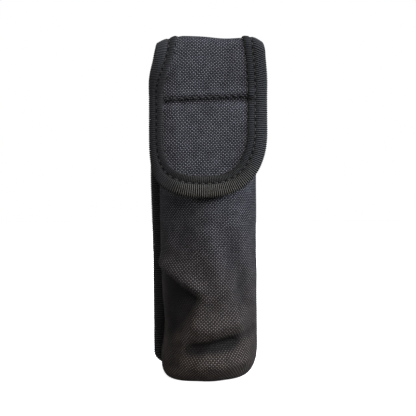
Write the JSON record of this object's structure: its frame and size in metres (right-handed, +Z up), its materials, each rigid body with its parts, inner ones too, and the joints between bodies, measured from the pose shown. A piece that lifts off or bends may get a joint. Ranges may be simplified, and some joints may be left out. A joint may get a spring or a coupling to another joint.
{
  "type": "belt holster with tactical flashlight",
  "caption": "Compact tactical flashlight standing bezel-down in a black woven nylon belt holster with a fold-over flap and bound edges.",
  "frame": {"origin": "centre of the footprint at the base, on the flashlight's axis", "axes": "+Z up along the flashlight from bezel to tail switch, -Y out of the holster's flap side, +Y to the belt"},
  "size_m": [0.05, 0.0577, 0.1493],
  "materials": {
    "front_panel": "black coated woven nylon",
    "front_lining": "black padded knit",
    "back_panel": "black coated woven nylon",
    "back_lining": "black padded knit",
    "back_stiffener": "plain sheet",
    "edge_binding": "black ribbed grosgrain",
    "mouth_binding": "black ribbed grosgrain",
    "loop_patch": "black looped pile",
    "belt_loop": "black webbing",
    "d_ring_tab": "black webbing",
    "d_ring": "black satin wire",
    "bridge_shell": "black coated woven nylon",
    "bridge_lining": "black padded knit",
    "bridge_binding": "black ribbed grosgrain",
    "cover_shell": "black coated woven nylon",
    "cover_lining": "black padded knit",
    "cover_stiffener": "plain sheet",
    "cover_binding": "black ribbed grosgrain",
    "hook_patch": "black moulded hooks",
    "bezel_ring": "black anodised satin",
    "lens": "clear coated",
    "lens_gasket": "soft black",
    "reflector": "polished with a fine texture",
    "led_spacer": "plain",
    "led_emitter": "yellow phosphor under a clear dome",
    "led_board": "white solder mask",
    "driver_holder": "turned",
    "driver_board": "green board",
    "front_spring": "gold plated",
    "head_shell": "black anodised satin",
    "head_o_ring": "greased",
    "body_tube": "black anodised satin, knurled",
    "pocket_clip": "black spring steel",
    "battery_cell": "sleeved steel can",
    "grip_ring": "black anodised satin",
    "tail_o_ring": "greased",
    "tail_cap": "black anodised satin",
    "tail_spring": "gold plated",
    "retaining_ring": "turned",
    "switch_board": "green board",
    "switch_housing": "black moulding",
    "switch_spring": "bright wire",
    "boot_spacer": "black moulding",
    "rubber_boot": "matt black silicone",
    "switch_plunger": "red moulding"
  },
  "bodies": {
    "holster": {"front_panel": "front_panel", "front_lining": "front_lining", "back_panel": "back_panel", "back_lining": "back_lining", "back_stiffener": "back_stiffener", "edge_binding": "edge_binding", "mouth_binding": "mouth_binding", "loop_patch": "loop_patch", "belt_loop": "belt_loop", "d_ring_tab": "d_ring_tab"},
    "d_ring": {"d_ring": "d_ring"},
    "flap_bridge": {"bridge_shell": "bridge_shell", "bridge_lining": "bridge_lining", "bridge_binding": "bridge_binding"},
    "flap_cover": {"cover_shell": "cover_shell", "cover_lining": "cover_lining", "cover_stiffener": "cover_stiffener", "cover_binding": "cover_binding", "hook_patch": "hook_patch"},
    "light": {"bezel_ring": "bezel_ring", "lens": "lens", "lens_gasket": "lens_gasket", "reflector": "reflector", "led_spacer": "led_spacer", "led_emitter": "led_emitter", "led_board": "led_board", "driver_holder": "driver_holder", "driver_board": "driver_board", "front_spring": "front_spring", "head_shell": "head_shell", "head_o_ring": "head_o_ring", "body_tube": "body_tube", "pocket_clip": "pocket_clip", "battery_cell": "battery_cell", "grip_ring": "grip_ring", "tail_o_ring": "tail_o_ring"},
    "tail_cap": {"tail_cap": "tail_cap", "tail_spring": "tail_spring", "retaining_ring": "retaining_ring", "switch_board": "switch_board", "switch_housing": "switch_housing", "switch_spring": "switch_spring", "boot_spacer": "boot_spacer", "rubber_boot": "rubber_boot"},
    "button": {"switch_plunger": "switch_plunger"}
  },
  "joints": [
    {"name": "flap_open", "type": "hinge", "parent": "holster", "child": "flap_bridge", "pos_m": [0, 0.0212, 0.14753], "axis": [-1, 0, 0], "range_deg": [0, 170.5]},
    {"name": "flap_fold", "type": "hinge", "parent": "flap_bridge", "child": "flap_cover", "pos_m": [0, -0.0255, 0.14753], "axis": [-1, 0, 0], "range_deg": [0, 80.5]},
    {"name": "light_draw", "type": "slide", "parent": "holster", "child": "light", "axis": [0, 0, 1], "range_m": [0, 0.066]},
    {"name": "tail_cap_turn", "type": "hinge", "parent": "light", "child": "tail_cap", "pos_m": [0, 0, 0.10473], "axis": [0, 0, 1], "range_deg": [0, 90]},
    {"name": "button_press", "type": "slide", "parent": "tail_cap", "child": "button", "axis": [0, 0, -1], "range_m": [0, 0.0015], "stiffness_N_per_m": 800, "springref_m": -0.0015, "deforming": ["switch_spring", "rubber_boot"]},
    {"name": "d_ring_swing", "type": "hinge", "parent": "holster", "child": "d_ring", "pos_m": [0, 0.0255, 0.13103], "axis": [1, 0, 0], "range_deg": [0, 120]}
  ],
  "couplings": [
    {"joint": "flap_open", "follows": "light_draw", "rad_per_m": 44.955},
    {"joint": "flap_fold", "follows": "light_draw", "rad_per_m": 21.156}
  ]
}
